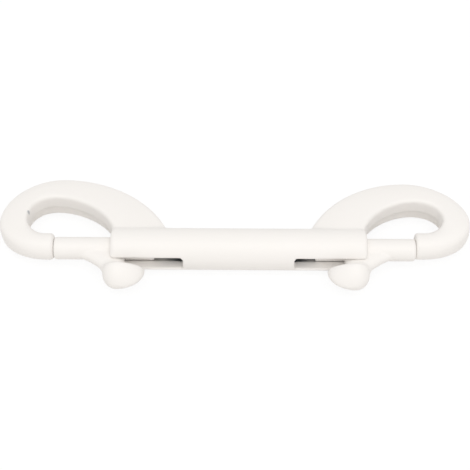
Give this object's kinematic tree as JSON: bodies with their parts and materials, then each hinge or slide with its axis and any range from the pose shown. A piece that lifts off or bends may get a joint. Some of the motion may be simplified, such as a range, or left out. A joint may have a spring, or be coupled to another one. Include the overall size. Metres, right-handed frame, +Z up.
{
  "type": "double ended bolt snap",
  "caption": "Double ended bolt snap: a cast barrel with a hook at each end, each hook shut by its own sprung sliding bolt with a thumb piece.",
  "frame": {"origin": "middle of the part's box at its lowest level, where the barrel touches what it lies on", "axes": "+X along the barrel, from the longer hook on the left to the shorter one on the right; +Y from the thumb pieces towards the hooks; +Z up, square to the plane of the hooks"},
  "size_m": [0.1166, 0.0326, 0.0102],
  "materials": {
    "painted_casting": "semi-gloss off-white coating",
    "painted_bolt": "semi-gloss off-white coating",
    "spring_wire": "drawn wire"
  },
  "bodies": {
    "body": {"cast_body": "painted_casting", "left_spring": "spring_wire", "right_spring": "spring_wire"},
    "left_slider": {"left_bolt": "painted_bolt"},
    "right_slider": {"right_bolt": "painted_bolt"}
  },
  "joints": [
    {"name": "left_bolt_slide", "type": "slide", "parent": "body", "child": "left_slider", "axis": [1, 0, 0], "range_m": [0, 0.0139], "stiffness_N_per_m": 440, "springref_m": -0.008, "deforming": ["left_spring"]},
    {"name": "right_bolt_slide", "type": "slide", "parent": "body", "child": "right_slider", "axis": [-1, 0, 0], "range_m": [0, 0.012], "stiffness_N_per_m": 440, "springref_m": -0.008, "deforming": ["right_spring"]}
  ]
}
